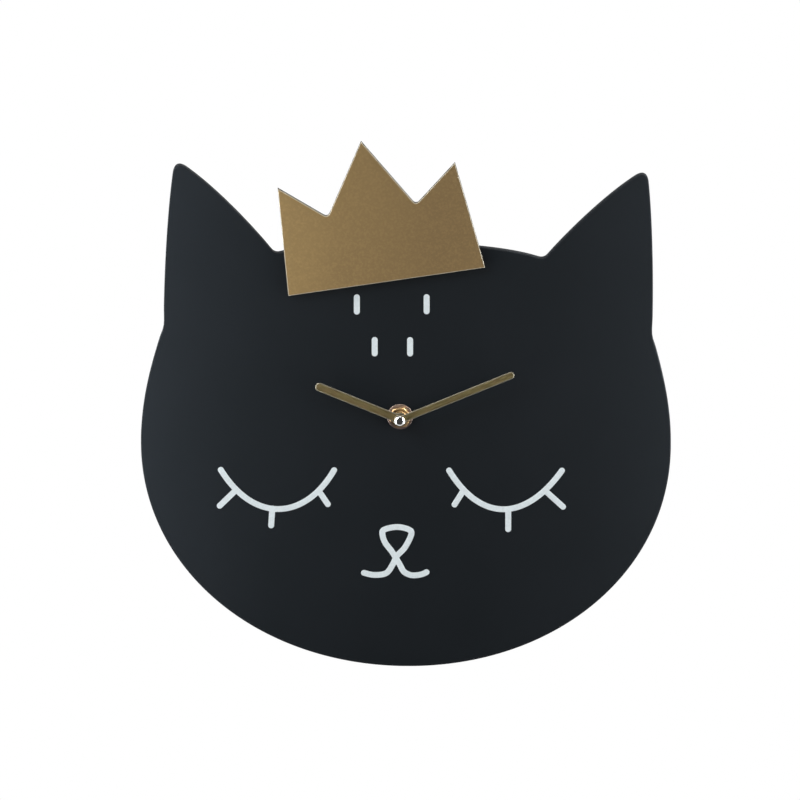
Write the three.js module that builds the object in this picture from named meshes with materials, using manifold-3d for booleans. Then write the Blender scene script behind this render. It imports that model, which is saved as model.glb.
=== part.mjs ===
// Cat-head wall clock: a flat cat-head dial plate with a crown, two hands and a quartz movement behind it.
// Units are millimetres. In the clock's own group x is right, y is up and z comes forward from the wall;
// the group is then turned so that +Z is up and the clock faces -Y. The origin is the point where the
// spindle's axis meets the wall.
import * as THREE from "three";
import { mergeVertices } from "three/addons/utils/BufferGeometryUtils.js";
import Module from "manifold-3d";

const wasm = await Module();
wasm.setup();

// ---------------------------------------------------------------- clearances
const seatGap = 0.3; // between two pieces that rest on each other
const fitGap = 0.2; // round a shaft or a core that is pushed into its piece
const runGap = 0.3; // round an arbor that turns in a hole
const levelGap = 0.7; // between wheels that pass over each other
const besideGap = 1.2; // from a wheel or the coil to what lies beside it
const postGap = 0.6; // from a wheel's tips to a post or an arbor beside it

// ---------------------------------------------------------------- modelling margins
const lap = 0.5; // how far two solids of one piece run into each other
const past = 1; // how far a cutting solid runs past what it cuts
const weld = 1e-4; // vertices nearer than this are one

// ---------------------------------------------------------------- head plate
const headWidth = 300;
const headRise = 116.7; // from the head's centre up to its forehead
const headDrop = 130.1; // from the head's centre down to its chin
const headThickness = 5;
const headEdge = 0.6; // chamfer round the plate's edges
const headOffset = new THREE.Vector2(3.3, -16.1); // the head's centre, seen from the spindle
const headTilt = -1; // degrees, clockwise
const jawFullness = 0.567; // the jaw's handles, as shares of its width and drop; an ellipse's are 0.552
const earInset = 11.9; // the ear's foot, inside the head's widest point
const earFootRise = 65.9;
const earHeight = 96.9; // from the ear's foot to its sharp tip, before it is rounded
const earTaper = 4.8; // how far the tip leans in from the foot
const earWidth = 62.1; // from the ear's foot to the notch where it meets the forehead
const earNotchDrop = 7.6; // the notch, below the forehead's top
const earTipRounding = 9;
const earNotchRounding = 3;

// Where the head's roundings start, as directions from the sharp corner.
const roundingWay = {
  tipOuter: [0.12, -0.99],
  tipInner: [-0.81, -0.58],
  notchEar: [0.65, 0.77],
  notchHead: [-0.96, 0.25],
};

// The handles of the head's curves, each in mm from the end that it belongs to.
const headHandle = {
  cheekLow: [0, 24],
  cheekHigh: [6.6, -22],
  earOuterLow: [0.4, 29],
  earOuterHigh: [-1.1, 66],
  earInnerHigh: [-18, -12.6],
  earInnerLow: [8.9, 10.8],
  browLow: [-18, 5.3],
  browHigh: [28, 0],
};
const curveSteps = { jaw: 22, cheek: 9, earOuter: 8, earTip: 6, earInner: 10, notch: 4, brow: 9, handEnd: 10 };

// ---------------------------------------------------------------- crown
const crownWidth = 112.4;
const crownTipSpread = 101.1; // between the two outer tips
const crownTipHeight = 62.5;
const crownMiddleHeight = 82.4;
const crownNotchSpread = 50.3;
const crownNotchHeight = 41.6;
const crownNotchRounding = 3;
const crownLean = -2.2; // sideways shift of the tips
const crownTilt = 8.6; // degrees, anticlockwise
const crownThickness = 3;
const crownEdge = 0.4;
const crownShift = -10.75; // the crown's base, left of the head's centre
const crownSeat = 21.25; // the middle of the crown's base, below the forehead's top
const tapeThickness = 0.8;
const tapeHeight = 8;
const tapeInset = 4; // from the crown's base and ends

// ---------------------------------------------------------------- hands and spindle hardware
const hourLength = 51.5;
const hourWidth = 4.9;
const hourAngle = 157.6; // degrees from +x, anticlockwise
const minuteLength = 70;
const minuteWidth = 4.1;
const minuteAngle = 22.7;
const handThickness = 0.5;
const hourHubRadius = 3.9;
const minuteHubRadius = 3.2;
const minuteShaftRadius = 1.6;
const hourSleeveWall = 0.7;
const capRadius = 3;
const capHeight = 3;
const capShoulder = 1.35; // the cap's straight side, under its dome
const capCrown = 1.2; // metal in front of the cap's bore
const capDomeSteps = 6;
const bushThreadRadius = 4;
const bushFlangeRadius = 5.5;
const bushFlangeThickness = 0.8;
const bushStandOut = 0.5; // the bush's end, in front of the nut
const hourHandLift = 2.2; // the hour hand, in front of the bush
const nutAcrossFlats = 11;
const nutThickness = 2.5;
const nutTurn = 38.5; // degrees, to one corner
const nutChamferWidth = 0.9; // in from the corners
const nutChamferDepth = 0.72; // back from the nut's face
const washerRadius = 7.3;
const washerThickness = 0.8;
const gasketRadius = 13;
const gasketThickness = 0.8;

// ---------------------------------------------------------------- movement
const caseWall = 1.25;
const frontWall = 1.6;
const pivotDepth = 1; // of the blind holes in the case's front wall
const pivotFloor = 0.3; // of the blind holes in the middle plate
const coverThickness = 1.6;
const bossHeight = 1;
const bossWall = 0.9;
const middlePlateThickness = 1.2;
const middlePlateEdge = 1.1; // beyond its outermost posts and bearings
const postRadius = 1.1;
const boardPostInset = 1.6; // from the board's edges to the post's axis
const thirdPostTurn = 40; // degrees, each side of the line from the spindle to the third wheel
const spindlePostTurn = -48; // degrees
const loopWidth = 20;
const loopHeight = 11;
const loopThickness = 2;
const loopTaper = 4; // each side, from its foot to its top
const loopHoleWidth = 9;
const loopHoleHeight = 6;
const loopHoleTaper = 0.9; // each side
const loopTopBar = 2.4; // plastic above the hanging hole

// ---------------------------------------------------------------- wheels
const teeth = {
  rotorPinion: 8,
  fifth: 48,
  fifthPinion: 12,
  fourth: 60,
  fourthPinion: 8,
  third: 64,
  thirdPinion: 8,
  centre: 60,
  cannon: 12,
  minuteWork: 36,
  minuteWorkPinion: 10,
  hour: 40,
  knob: 12,
};
const centreModule = 0.3;
const fastModule = 0.25; // rotor, fifth and fourth wheels
const wheelThickness = 0.8;
const pinionOverhang = 0.2; // a pinion, beyond each face of the wheel it turns
const hubOverhang = 0.3; // a wheel's hub, beyond the wheel's face
const arborRadius = 0.6;
const centrePinRadius = 1; // the fixed pin that the centre wheel turns on
const clutchHubRadius = 2; // of the third wheel, which slips on its pinion's arbor
const magnetSeatRadius = 2;
const magnetSeatThickness = 0.6;
const wheelTooth = { addendum: 1, dedendum: 1.3, root: 0.58, tip: 0.2 }; // in modules, and shares of the pitch
const pinionTooth = { addendum: 0.85, dedendum: 1.3, root: 0.56, tip: 0.22 };

// ---------------------------------------------------------------- motor and electrics
const magnetRadius = 3;
const magnetThickness = 1.8;
const statorThickness = 0.8;
const statorAir = 0.4; // between the magnet and the stator
const statorRing = 2;
const statorBar = 3.6;
const coilOffset = 10; // from the rotor's axis to the coil's
const coilDrop = 0.8; // the coil's middle, below the rotor's axis
const coilLength = 18;
const coilRadius = 3.6;
const coilFlangeRadius = 4.2;
const coilFlangeThickness = 1;
const coreWidth = 3;
const coreThickness = 1.2;
const coreLap = 4.5; // length of the core's ends on the stator
const bobbinWall = 1; // round the core
const boardThickness = 0.8;
const boardHeight = 10.4;
const boardWidth = 18.5;
const chipFromLeft = 3; // of the board
const chipFromBottom = 2.2;
const chipSize = 4;
const chipThickness = 1;
const crystalRadius = 1;
const crystalLength = 6;
const stripThickness = 0.4;
const stripWidth = 1.6;
const stripOnBoard = 5; // how far a contact's strip runs along the board
const padInset = 2.2; // a contact's pad, in from the battery's outline

// ---------------------------------------------------------------- battery (AA) and setting knob
const batteryRadius = 7;
const batteryBody = 49.3;
const batteryNub = 1.1;
const batteryNubRadius = 2.7;
const batteryCrimp = 0.5; // chamfer at the ends of the sleeve
const batteryRoom = 0.25; // round the battery in its bay
const batterySink = 0.2; // from the wall, and from the case's front wall, to the battery
const springReach = 1.15; // how far the spring contact stands off its strip
const knobRadius = 6.5;
const knobThickness = 1.8;
const knobFlutes = 18;
const knobFluteDepth = 0.4;
const knobShaftRadius = 1.2;
const wellWall = 0.8;
const wellRoom = 0.8; // the well's depth, beyond the grip's thickness

// ---------------------------------------------------------------- where the wheels turn
function polar(from, radius, degrees) {
  const angle = THREE.MathUtils.degToRad(degrees);
  return new THREE.Vector2(from.x + radius * Math.cos(angle), from.y + radius * Math.sin(angle));
}

function tipRadius(count, module, tooth) {
  return module * (count / 2 + tooth.addendum);
}

const spindle = new THREE.Vector2(0, 0);
const centreTip = tipRadius(teeth.centre, centreModule, wheelTooth);
const thirdDistance = (centreModule * (teeth.centre + teeth.thirdPinion)) / 2;
const thirdModule = (2 * thirdDistance) / (teeth.third + teeth.fourthPinion);
const thirdTip = tipRadius(teeth.third, thirdModule, wheelTooth);
const fourthTip = tipRadius(teeth.fourth, fastModule, wheelTooth);
const fifthDistance = (fastModule * (teeth.fourth + teeth.fifthPinion)) / 2;
const fifthTip = tipRadius(teeth.fifth, fastModule, wheelTooth);
const rotorDistance = (fastModule * (teeth.fifth + teeth.rotorPinion)) / 2;
const minuteWorkDistance = centreTip + postGap + arborRadius;
const minuteWorkModule = (2 * minuteWorkDistance) / (teeth.cannon + teeth.minuteWork);
const hourModule = (2 * minuteWorkDistance) / (teeth.minuteWorkPinion + teeth.hour);
const hourTip = tipRadius(teeth.hour, hourModule, wheelTooth);
const knobDistance = (minuteWorkModule * (teeth.minuteWork + teeth.knob)) / 2;

const direction = { third: 180, fifth: 60, rotor: 0, minuteWork: 105, knob: 150 }; // degrees
const thirdAxis = polar(spindle, thirdDistance, direction.third);
const fifthAxis = polar(spindle, fifthDistance, direction.fifth);
const rotorAxis = polar(fifthAxis, rotorDistance, direction.rotor);
const minuteWorkAxis = polar(spindle, minuteWorkDistance, direction.minuteWork);
const knobAxis = polar(minuteWorkAxis, knobDistance, direction.knob);
const coilX = rotorAxis.x + coilOffset;
const coilMiddleY = rotorAxis.y - coilDrop;

// ---------------------------------------------------------------- what turns on the spindle's axis
const hourSleeveInner = minuteShaftRadius + runGap;
const hourSleeveOuter = hourSleeveInner + hourSleeveWall;
const bushBore = hourSleeveOuter + runGap;
const bushHole = bushThreadRadius + seatGap; // in all that the bush passes through

// ---------------------------------------------------------------- levels, from the wall forward
const fifthLevel = coverThickness + bossHeight + seatGap;
const fourthLevel = fifthLevel + wheelThickness + levelGap;
const thirdLevel = fourthLevel + wheelThickness + levelGap;
const middlePlateBack = thirdLevel + wheelThickness + levelGap;
const middlePlateFront = middlePlateBack + middlePlateThickness;
const centreLevel = middlePlateFront + levelGap;
const minuteWorkLevel = centreLevel + wheelThickness + levelGap;
const hourLevel = minuteWorkLevel + wheelThickness + levelGap;
const trainFront = hourLevel + wheelThickness + levelGap;
const batteryZ = batterySink + batteryRadius;
const coilAxisLevel = thirdLevel + statorThickness + seatGap + coreThickness / 2;
const frontInside = Math.max(
  trainFront + seatGap,
  batteryZ + batteryRadius + batterySink,
  coilAxisLevel + coilFlangeRadius + seatGap,
);
const caseFront = frontInside + frontWall;
const gasketBack = caseFront + seatGap;
const headBack = gasketBack + gasketThickness + seatGap;
const headFront = headBack + headThickness;
const tapeBack = headFront + seatGap;
const crownBack = tapeBack + tapeThickness + seatGap;
const washerBack = headFront + seatGap;
const nutBack = washerBack + washerThickness + seatGap;
const nutFront = nutBack + nutThickness;
const bushFlangeBack = frontInside - seatGap;
const bushFlangeFront = bushFlangeBack + bushFlangeThickness;
const bushEnd = nutFront + bushStandOut;
const hourHandBack = bushEnd + hourHandLift;
const minuteHandBack = hourHandBack + 3 * handThickness + seatGap;
const capBack = minuteHandBack + 2 * handThickness + seatGap;
const capBoreEnd = capBack + capHeight - capCrown;
const arborBack = coverThickness - seatGap;
const arborFront = frontInside + pivotDepth - seatGap;
const shortArborFront = middlePlateFront - pivotFloor - seatGap;
const magnetMiddle = thirdLevel + statorThickness / 2;
const magnetBack = magnetMiddle - magnetThickness / 2;
const coreBack = thirdLevel + statorThickness + seatGap;
const coreFront = coreBack + coreThickness;
const boardBack = fifthLevel;
const boardFront = boardBack + boardThickness;
const stripFront = fifthLevel + stripWidth;
const wellDepth = knobThickness + wellRoom;

// ---------------------------------------------------------------- the case's inner room
const roomBottom = -(Math.max(centreTip, thirdTip, hourTip) + besideGap);
const bayTop = roomBottom - caseWall;
const bayBottom = bayTop - 2 * (batteryRadius + batteryRoom);
const batteryY = (bayTop + bayBottom) / 2;
const boardBottom = fifthAxis.y + fifthTip + besideGap;
const boardTop = boardBottom + boardHeight;
const boardRight = coilX - coilFlangeRadius - besideGap;
const boardLeft = boardRight - boardWidth;
const knobTop = knobAxis.y + knobRadius + seatGap + wellWall;
const contactRoom = stripThickness + 2 * seatGap;
const roomTop = Math.max(boardTop + contactRoom, knobTop + 2 * seatGap);
const slotDepth = contactRoom + stripThickness;
const coilSide = coilX + coilFlangeRadius + contactRoom;
const knobSide = knobRadius + seatGap + wellWall - knobAxis.x + contactRoom;
const batterySide = (batteryBody + batteryNub + springReach + 2 * contactRoom) / 2;
const roomSide = Math.max(coilSide, knobSide, batterySide);
const batteryLeft = -roomSide + contactRoom + springReach;
const stripX = roomSide - seatGap - stripThickness / 2;
const stripY = roomTop - seatGap - stripThickness / 2;
const caseLeft = -roomSide - caseWall;
const caseRight = roomSide + caseWall;
const caseTop = roomTop + caseWall;
const caseBottom = bayBottom - caseWall;

// ---------------------------------------------------------------- posts
const thirdPostReach = thirdTip + postGap + postRadius;
const spindlePostReach = Math.max(centreTip, fourthTip) + postGap + postRadius;
const platePosts = [
  polar(thirdAxis, thirdPostReach, direction.third - thirdPostTurn),
  polar(thirdAxis, thirdPostReach, direction.third + thirdPostTurn),
  polar(spindle, spindlePostReach, spindlePostTurn),
];
const boardPosts = [
  new THREE.Vector2(boardLeft + boardPostInset, boardTop - boardPostInset),
  new THREE.Vector2(boardRight - boardPostInset, boardTop - boardPostInset),
];
const coreEnd = coilLength / 2 + coilFlangeThickness + coreLap;
const corePosts = [
  new THREE.Vector2(coilX, coilMiddleY + coreEnd - coreLap / 2),
  new THREE.Vector2(coilX, coilMiddleY - coreEnd + coreLap / 2),
];

// ---------------------------------------------------------------- materials
function material(color, roughness, metalness) {
  return new THREE.MeshStandardMaterial({ color, roughness, metalness });
}

const blackPlate = material(0x222529, 0.55, 0);
const gold = material(0x9a7d55, 0.35, 0.9);
const handGold = material(0x80704a, 0.45, 0.8);
const brass = material(0xb08d57, 0.3, 1);
const chrome = material(0xd8d8d6, 0.12, 1);
const steel = material(0x9a9a98, 0.4, 1);
const copper = material(0xa4552c, 0.35, 0.9);
const blackPlastic = material(0x1b1b1d, 0.5, 0);
const whitePlastic = material(0xe6e4dc, 0.5, 0);
const rubber = material(0x151515, 0.9, 0);
const magnetGrey = material(0x4a4b50, 0.5, 0.6);
const boardBrown = material(0x8a6a35, 0.6, 0);
const tapeWhite = material(0xd9d8d2, 0.8, 0);
const batteryShell = material(0x3c4a58, 0.4, 0.5);

// ---------------------------------------------------------------- solids
function solidOf(geometry) {
  const bare = geometry.index ? geometry.toNonIndexed() : geometry;
  bare.deleteAttribute("normal");
  bare.deleteAttribute("uv");
  const merged = mergeVertices(bare, weld);
  const vertProperties = merged.attributes.position.array;
  const triVerts = new Uint32Array(merged.index.array);
  return new wasm.Manifold(new wasm.Mesh({ numProp: 3, vertProperties, triVerts }));
}

function geometryOf(solid) {
  const mesh = solid.getMesh();
  const geometry = new THREE.BufferGeometry();
  geometry.setAttribute("position", new THREE.BufferAttribute(mesh.vertProperties, 3));
  geometry.setIndex(new THREE.BufferAttribute(mesh.triVerts, 1));
  geometry.computeVertexNormals();
  return geometry;
}

function join(first, ...others) {
  return others.reduce((whole, piece) => whole.add(piece), first);
}

function cut(first, ...others) {
  return others.reduce((whole, piece) => whole.subtract(piece), first);
}

// An outline raised from back to front, with the same chamfer on both edges.
function raise(points, back, front, edge = 0) {
  const geometry = new THREE.ExtrudeGeometry(new THREE.Shape(points), {
    depth: front - back - 2 * edge,
    bevelEnabled: edge > 0,
    bevelThickness: edge,
    bevelSize: edge,
    bevelOffset: -edge,
    bevelSegments: 1,
  });
  geometry.translate(0, 0, back + edge);
  return solidOf(geometry);
}

function ringPoints(centre, radius, sides, turn = 0) {
  const points = [];
  for (let i = 0; i < sides; i += 1) points.push(polar(centre, radius, turn + (360 * i) / sides));
  return points;
}

// Enough sides for a smooth disc of this radius, and always a multiple of 4.
function sidesFor(radius) {
  return Math.max(12, 4 * Math.round(1 + 2.4 * Math.sqrt(radius)));
}

function disc(centre, radius, back, front) {
  return raise(ringPoints(centre, radius, sidesFor(radius)), back, front);
}

function ring(centre, inner, outer, back, front) {
  return cut(disc(centre, outer, back, front), disc(centre, inner, back - past, front + past));
}

function block(left, right, bottom, top, back, front) {
  const geometry = new THREE.BoxGeometry(right - left, top - bottom, front - back);
  geometry.translate((left + right) / 2, (bottom + top) / 2, (back + front) / 2);
  return solidOf(geometry);
}

// A profile of [radius, height] pairs turned round an axis along z.
function turned(profile, sides) {
  const points = profile.map(([radius, height]) => new THREE.Vector2(radius, height));
  const geometry = new THREE.LatheGeometry(points, sides);
  geometry.rotateX(Math.PI / 2);
  return solidOf(geometry);
}

// A strip of sheet metal that follows a path of corner points, standing from back to front.
function bentStrip(path, back, front) {
  const pieces = path.slice(1).map((end, i) => {
    const start = path[i];
    const along = new THREE.Vector2().subVectors(end, start).normalize().multiplyScalar(stripThickness / 2);
    const across = new THREE.Vector2(-along.y, along.x);
    const corners = [
      start.clone().sub(along).sub(across),
      end.clone().add(along).sub(across),
      end.clone().add(along).add(across),
      start.clone().sub(along).add(across),
    ];
    return raise(corners, back, front);
  });
  return join(...pieces);
}

// ---------------------------------------------------------------- outlines
function shifted(point, [x, y], scale = 1) {
  return new THREE.Vector2(point.x + scale * x, point.y + scale * y);
}

function headOutline() {
  const side = new THREE.Vector2(headWidth / 2, 0);
  const foot = new THREE.Vector2(side.x - earInset, earFootRise);
  const tip = new THREE.Vector2(foot.x - earTaper, foot.y + earHeight);
  const notch = new THREE.Vector2(foot.x - earWidth, headRise - earNotchDrop);
  const forehead = new THREE.Vector2(0, headRise);
  const tipOuter = shifted(tip, roundingWay.tipOuter, earTipRounding);
  const tipInner = shifted(tip, roundingWay.tipInner, earTipRounding);
  const notchEar = shifted(notch, roundingWay.notchEar, earNotchRounding);
  const notchHead = shifted(notch, roundingWay.notchHead, earNotchRounding);

  const handle = headHandle;
  const jaw = new THREE.CubicBezierCurve(
    new THREE.Vector2(0, -headDrop),
    new THREE.Vector2(jawFullness * side.x, -headDrop),
    new THREE.Vector2(side.x, -jawFullness * headDrop),
    side,
  );
  const cheek = new THREE.CubicBezierCurve(
    side,
    shifted(side, handle.cheekLow),
    shifted(foot, handle.cheekHigh),
    foot,
  );
  const earOuter = new THREE.CubicBezierCurve(
    foot,
    shifted(foot, handle.earOuterLow),
    shifted(foot, handle.earOuterHigh),
    tipOuter,
  );
  const earTip = new THREE.QuadraticBezierCurve(tipOuter, tip, tipInner);
  const earInner = new THREE.CubicBezierCurve(
    tipInner,
    shifted(tipInner, handle.earInnerHigh),
    shifted(notchEar, handle.earInnerLow),
    notchEar,
  );
  const corner = new THREE.QuadraticBezierCurve(notchEar, notch, notchHead);
  const brow = new THREE.CubicBezierCurve(
    notchHead,
    shifted(notchHead, handle.browLow),
    shifted(forehead, handle.browHigh),
    forehead,
  );

  const right = [
    ...jaw.getPoints(curveSteps.jaw),
    ...cheek.getPoints(curveSteps.cheek).slice(1),
    ...earOuter.getPoints(curveSteps.earOuter).slice(1),
    ...earTip.getPoints(curveSteps.earTip).slice(1),
    ...earInner.getPoints(curveSteps.earInner).slice(1),
    ...corner.getPoints(curveSteps.notch).slice(1),
    ...brow.getPoints(curveSteps.brow).slice(1),
  ];
  const left = right
    .slice(1, -1)
    .reverse()
    .map((p) => new THREE.Vector2(-p.x, p.y));
  const tilt = THREE.MathUtils.degToRad(headTilt);
  return [...right, ...left].map((p) => p.rotateAround(spindle, tilt).add(headOffset));
}

const crownBase = new THREE.Vector2(headOffset.x + crownShift, headOffset.y + headRise - crownSeat);

// From the crown's own frame, along and above its base, to the clock's.
function onCrown(along, above) {
  const tilt = THREE.MathUtils.degToRad(crownTilt);
  return new THREE.Vector2(along, above).rotateAround(spindle, tilt).add(crownBase);
}

function crownOutline() {
  const notch = (sign) => {
    const middle = new THREE.Vector2((sign * crownNotchSpread) / 2 + crownLean, crownNotchHeight);
    const outerTip = new THREE.Vector2((sign * crownTipSpread) / 2 + crownLean, crownTipHeight);
    const topTip = new THREE.Vector2(crownLean, crownMiddleHeight);
    const toward = (end) => end.clone().sub(middle).setLength(crownNotchRounding).add(middle);
    const curve = new THREE.QuadraticBezierCurve(toward(outerTip), middle, toward(topTip));
    const points = curve.getPoints(curveSteps.notch).map((p) => onCrown(p.x, p.y));
    return [onCrown(outerTip.x, outerTip.y), ...points];
  };
  return [
    onCrown(-crownWidth / 2, 0),
    onCrown(crownWidth / 2, 0),
    ...notch(1),
    onCrown(crownLean, crownMiddleHeight),
    ...notch(-1).reverse(),
  ];
}

// A straight bar from the spindle, with a round end.
function handOutline(length, width, degrees) {
  const direct = THREE.MathUtils.degToRad(degrees);
  const half = width / 2;
  const end = new THREE.EllipseCurve(length - half, 0, half, half, -Math.PI / 2, Math.PI / 2);
  const tip = end.getPoints(curveSteps.handEnd);
  const points = [new THREE.Vector2(0, -half), ...tip, new THREE.Vector2(0, half)];
  return points.map((p) => p.rotateAround(spindle, direct));
}

// ---------------------------------------------------------------- wheels
function gearPoints(axis, count, module, tooth, phase) {
  const pitchRadius = (count * module) / 2;
  const rootRadius = pitchRadius - tooth.dedendum * module;
  const tip = tipRadius(count, module, tooth);
  const step = 360 / count;
  const flank = [
    [rootRadius, -tooth.root],
    [tip, -tooth.tip],
    [tip, tooth.tip],
    [rootRadius, tooth.root],
  ];
  const points = [];
  for (let i = 0; i < count; i += 1) {
    for (const [radius, share] of flank) {
      points.push(polar(axis, radius, phase + step * i + (share * step) / 2));
    }
  }
  return points;
}

function wheel(axis, count, module, phase, level) {
  const points = gearPoints(axis, count, module, wheelTooth, phase);
  return raise(points, level, level + wheelThickness);
}

function pinion(axis, count, module, phase, back, front) {
  return raise(gearPoints(axis, count, module, pinionTooth, phase), back, front);
}

// The phase that puts a gap of the second gear on a tooth of the first, in degrees. `toward` is the
// direction from the first gear's axis to the second's.
function meshPhase(toward, count, phase, otherCount) {
  const position = ((phase - toward) * count) / 360;
  return toward + 180 + (360 / otherCount) * (0.5 - position);
}

const phase = {};
phase.rotorPinion = 0;
phase.fifth = meshPhase(direction.rotor + 180, teeth.rotorPinion, phase.rotorPinion, teeth.fifth);
phase.fifthPinion = 0;
phase.fourth = meshPhase(direction.fifth + 180, teeth.fifthPinion, phase.fifthPinion, teeth.fourth);
phase.fourthPinion = 0;
phase.third = meshPhase(direction.third, teeth.fourthPinion, phase.fourthPinion, teeth.third);
phase.thirdPinion = 0;
phase.centre = meshPhase(direction.third + 180, teeth.thirdPinion, phase.thirdPinion, teeth.centre);
phase.cannon = 0;
phase.minuteWork = meshPhase(direction.minuteWork, teeth.cannon, phase.cannon, teeth.minuteWork);
phase.minuteWorkPinion = 0;
phase.hour = meshPhase(
  direction.minuteWork + 180,
  teeth.minuteWorkPinion,
  phase.minuteWorkPinion,
  teeth.hour,
);
phase.knob = meshPhase(direction.knob, teeth.minuteWork, phase.minuteWork, teeth.knob);

// ---------------------------------------------------------------- dial side
function headPlate() {
  const hole = disc(spindle, bushHole, headBack - past, headFront + past);
  return cut(raise(headOutline(), headBack, headFront, headEdge), hole);
}

function crown() {
  return raise(crownOutline(), crownBack, crownBack + crownThickness, crownEdge);
}

function crownTape() {
  const reach = crownWidth / 2 - 2 * tapeInset;
  const corners = [
    onCrown(-reach, tapeInset),
    onCrown(reach, tapeInset),
    onCrown(reach, tapeInset + tapeHeight),
    onCrown(-reach, tapeInset + tapeHeight),
  ];
  return raise(corners, tapeBack, tapeBack + tapeThickness);
}

function gasket() {
  return ring(spindle, bushHole, gasketRadius, gasketBack, gasketBack + gasketThickness);
}

function washer() {
  return ring(spindle, bushHole, washerRadius, washerBack, washerBack + washerThickness);
}

function nut() {
  const corner = nutAcrossFlats / Math.sqrt(3);
  const hexagon = raise(ringPoints(spindle, corner, 6, nutTurn), nutBack, nutFront);
  const slope = nutChamferDepth / nutChamferWidth;
  const cone = turned(
    [
      [0, nutBack - past],
      [corner + past, nutBack - past],
      [corner + past, nutFront - nutChamferDepth - past * slope],
      [corner - nutChamferWidth, nutFront],
      [0, nutFront],
    ],
    36,
  );
  return cut(hexagon.intersect(cone), disc(spindle, bushHole, nutBack - past, nutFront + past));
}

function threadedBush() {
  const body = disc(spindle, bushThreadRadius, bushFlangeBack, bushEnd);
  const flange = disc(spindle, bushFlangeRadius, bushFlangeBack, bushFlangeFront);
  return cut(join(body, flange), disc(spindle, bushBore, bushFlangeBack - past, bushEnd + past));
}

// A bar with a hub that stands behind it by the bar's own thickness.
function hand(outline, hubRadius, boreRadius, back) {
  const front = back + 2 * handThickness;
  const bar = raise(outline, back + handThickness, front);
  const hub = disc(spindle, hubRadius, back, front);
  return cut(join(bar, hub), disc(spindle, boreRadius, back - past, front + past));
}

function hourHand() {
  const outline = handOutline(hourLength, hourWidth, hourAngle);
  return hand(outline, hourHubRadius, hourSleeveOuter + fitGap, hourHandBack);
}

function minuteHand() {
  const outline = handOutline(minuteLength, minuteWidth, minuteAngle);
  return hand(outline, minuteHubRadius, minuteShaftRadius + fitGap, minuteHandBack);
}

function capNut() {
  const boreRadius = minuteShaftRadius + fitGap;
  const domeBack = capBack + capShoulder;
  const dome = new THREE.EllipseCurve(0, domeBack, capRadius, capHeight - capShoulder, 0, Math.PI / 2);
  const rim = dome.getPoints(capDomeSteps).slice(0, -1).map((p) => [p.x, p.y]);
  return turned(
    [
      [0, capBoreEnd],
      [boreRadius, capBoreEnd],
      [boreRadius, capBack],
      [capRadius, capBack],
      ...rim,
      [0, capBack + capHeight],
    ],
    32,
  );
}

// ---------------------------------------------------------------- movement: shells
function hangingLoop() {
  const foot = loopWidth / 2;
  const head = foot - loopTaper;
  const top = caseTop + loopHeight;
  const corners = [
    new THREE.Vector2(-foot, caseTop - caseWall),
    new THREE.Vector2(foot, caseTop - caseWall),
    new THREE.Vector2(head, top),
    new THREE.Vector2(-head, top),
  ];
  const holeTop = top - loopTopBar;
  const half = loopHoleWidth / 2;
  const hole = [
    new THREE.Vector2(-half, holeTop - loopHoleHeight),
    new THREE.Vector2(half, holeTop - loopHoleHeight),
    new THREE.Vector2(half - loopHoleTaper, holeTop),
    new THREE.Vector2(loopHoleTaper - half, holeTop),
  ];
  const front = seatGap + loopThickness;
  return cut(raise(corners, seatGap, front), raise(hole, seatGap - past, front + past));
}

function movementCase() {
  const outside = block(caseLeft, caseRight, caseBottom, caseTop, 0, caseFront);
  const gearRoom = block(-roomSide, roomSide, roomBottom, roomTop, -past, frontInside);
  const bay = block(-roomSide, roomSide, bayBottom, bayTop, -past, frontInside);
  const slot = (left) => {
    return block(left, left + slotDepth, bayTop - past, roomBottom + past, -past, stripFront + 2 * seatGap);
  };
  const shell = cut(outside, gearRoom, bay, slot(-roomSide), slot(roomSide - slotDepth));
  const post = (back) => (axis) => disc(axis, postRadius, back + seatGap, frontInside + lap);
  const posts = [
    ...platePosts.map(post(middlePlateFront)),
    ...boardPosts.map(post(boardFront)),
    ...corePosts.map(post(coreFront)),
  ];
  const pivot = (axis, radius) => disc(axis, radius + runGap, frontInside - past, frontInside + pivotDepth);
  const flangeRadius = bushFlangeRadius + seatGap;
  const holes = [
    pivot(thirdAxis, arborRadius),
    pivot(minuteWorkAxis, arborRadius),
    pivot(knobAxis, knobShaftRadius),
    disc(spindle, flangeRadius, frontInside - past, bushFlangeFront + seatGap),
    disc(spindle, bushHole, frontInside - past, caseFront + past),
  ];
  return cut(join(shell, hangingLoop(), ...posts), ...holes);
}

function middlePlate() {
  const bearingEdge = arborRadius + runGap + middlePlateEdge;
  const postEdge = postRadius + middlePlateEdge;
  const left = platePosts[0].x - postEdge;
  const right = rotorAxis.x + magnetRadius;
  const bottom = Math.max(platePosts[2].y - postEdge, roomBottom + seatGap);
  const top = minuteWorkAxis.y + bearingEdge;
  const plate = block(left, right, bottom, top, middlePlateBack, middlePlateFront);
  const pin = disc(spindle, centrePinRadius, middlePlateFront - pivotFloor, centreLevel + wheelThickness);
  const hole = (front) => (axis) => disc(axis, arborRadius + runGap, middlePlateBack - past, front);
  const through = [thirdAxis, minuteWorkAxis].map(hole(middlePlateFront + past));
  const blind = [spindle, fifthAxis, rotorAxis].map(hole(middlePlateFront - pivotFloor));
  return cut(join(plate, pin), ...through, ...blind);
}

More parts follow.
